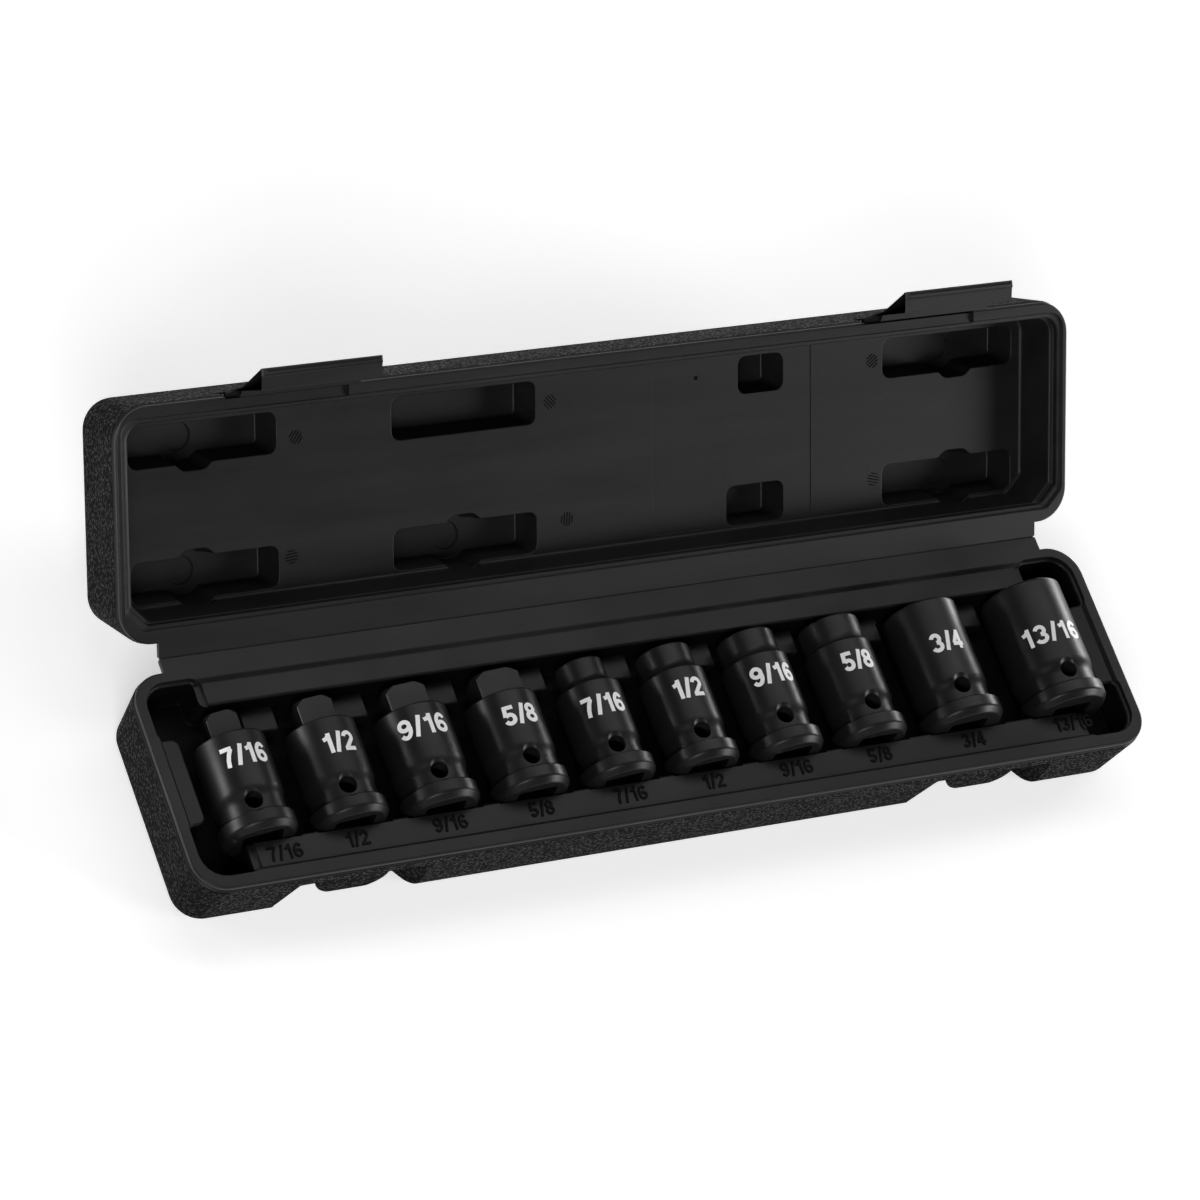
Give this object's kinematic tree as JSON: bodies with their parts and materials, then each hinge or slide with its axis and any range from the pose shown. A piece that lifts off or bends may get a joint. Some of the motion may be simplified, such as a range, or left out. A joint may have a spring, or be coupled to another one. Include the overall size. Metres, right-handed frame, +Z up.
{
  "type": "pipe plug socket set in case",
  "caption": "Set of square impact sockets for pipe plugs, male and female, lying in the moulded tray of a long hinged case with two snap latches.",
  "frame": {"origin": "on the surface the case stands on, under the middle of the lower half's 385 x 82.4 mm outline", "axes": "+X along the case towards the largest socket, +Y towards the hinge, +Z up"},
  "size_m": [0.385, 0.1714, 0.1157],
  "materials": {
    "case_plastic": "black blow-moulded polyethylene, pebbled outside and smooth satin inside",
    "latch_plastic": "smooth satin black moulded plastic",
    "socket_steel": "black phosphate coated chrome-molybdenum steel, satin, with white size numbers"
  },
  "bodies": {
    "base": {"base": "case_plastic"},
    "lid": {"lid": "case_plastic"},
    "latch_left": {"latch_left": "latch_plastic"},
    "latch_right": {"latch_right": "latch_plastic"},
    "plug_socket_7_16": {"plug_socket_7_16": "socket_steel"},
    "plug_socket_1_2": {"plug_socket_1_2": "socket_steel"},
    "plug_socket_9_16": {"plug_socket_9_16": "socket_steel"},
    "plug_socket_5_8": {"plug_socket_5_8": "socket_steel"},
    "cup_socket_7_16": {"cup_socket_7_16": "socket_steel"},
    "cup_socket_1_2": {"cup_socket_1_2": "socket_steel"},
    "cup_socket_9_16": {"cup_socket_9_16": "socket_steel"},
    "cup_socket_5_8": {"cup_socket_5_8": "socket_steel"},
    "cup_socket_3_4": {"cup_socket_3_4": "socket_steel"},
    "cup_socket_13_16": {"cup_socket_13_16": "socket_steel"}
  },
  "joints": [
    {"name": "lid_hinge", "type": "hinge", "parent": "base", "child": "lid", "pos_m": [0, 0.0459, 0.03015], "axis": [-1, 0, 0], "range_deg": [-139.8, 27]},
    {"name": "latch_left_swing", "type": "hinge", "parent": "lid", "child": "latch_left", "pos_m": [-0.1275, 0.11484, 0.0801], "axis": [-1, 0, 0], "range_deg": [-9.7, 90]},
    {"name": "latch_right_swing", "type": "hinge", "parent": "lid", "child": "latch_right", "pos_m": [0.1275, 0.11484, 0.0801], "axis": [-1, 0, 0], "range_deg": [-11.6, 88]},
    {"name": "lift_plug_socket_7_16", "type": "slide", "parent": "base", "child": "plug_socket_7_16", "axis": [0, 0, 1], "range_m": [0, 0.06]},
    {"name": "lift_plug_socket_1_2", "type": "slide", "parent": "base", "child": "plug_socket_1_2", "axis": [0, 0, 1], "range_m": [0, 0.06]},
    {"name": "lift_plug_socket_9_16", "type": "slide", "parent": "base", "child": "plug_socket_9_16", "axis": [0, 0, 1], "range_m": [0, 0.06]},
    {"name": "lift_plug_socket_5_8", "type": "slide", "parent": "base", "child": "plug_socket_5_8", "axis": [0, 0, 1], "range_m": [0, 0.06]},
    {"name": "lift_cup_socket_7_16", "type": "slide", "parent": "base", "child": "cup_socket_7_16", "axis": [0, 0, 1], "range_m": [0, 0.06]},
    {"name": "lift_cup_socket_1_2", "type": "slide", "parent": "base", "child": "cup_socket_1_2", "axis": [0, 0, 1], "range_m": [0, 0.06]},
    {"name": "lift_cup_socket_9_16", "type": "slide", "parent": "base", "child": "cup_socket_9_16", "axis": [0, 0, 1], "range_m": [0, 0.06]},
    {"name": "lift_cup_socket_5_8", "type": "slide", "parent": "base", "child": "cup_socket_5_8", "axis": [0, 0, 1], "range_m": [0, 0.06]},
    {"name": "lift_cup_socket_3_4", "type": "slide", "parent": "base", "child": "cup_socket_3_4", "axis": [0, 0, 1], "range_m": [0, 0.06]},
    {"name": "lift_cup_socket_13_16", "type": "slide", "parent": "base", "child": "cup_socket_13_16", "axis": [0, 0, 1], "range_m": [0, 0.06]}
  ]
}
